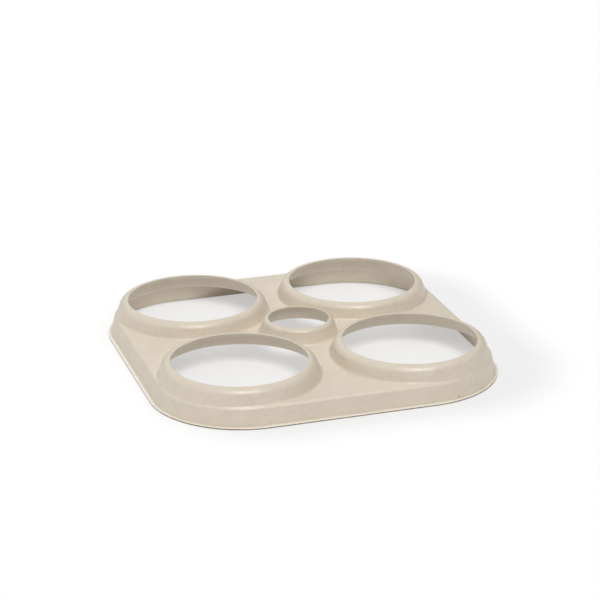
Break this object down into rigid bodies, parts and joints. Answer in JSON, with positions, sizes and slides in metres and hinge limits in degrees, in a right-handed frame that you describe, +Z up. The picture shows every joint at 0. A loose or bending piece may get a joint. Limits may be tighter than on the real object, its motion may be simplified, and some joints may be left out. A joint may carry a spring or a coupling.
{
  "type": "can carrier ring",
  "caption": "Square moulded-fibre carrier with raised round collars that snap over the rims of beverage cans, and a finger hole in the middle to lift them by.",
  "frame": {"origin": "middle of the flat underside that it rests on", "axes": "+Z up out of the collars, +X and +Y along the sides of the square"},
  "size_m": [0.1388, 0.1388, 0.0139],
  "materials": {
    "moulded_fibre": "matte"
  },
  "bodies": {
    "root": {"carrier_ring": "moulded_fibre"}
  },
  "joints": []
}
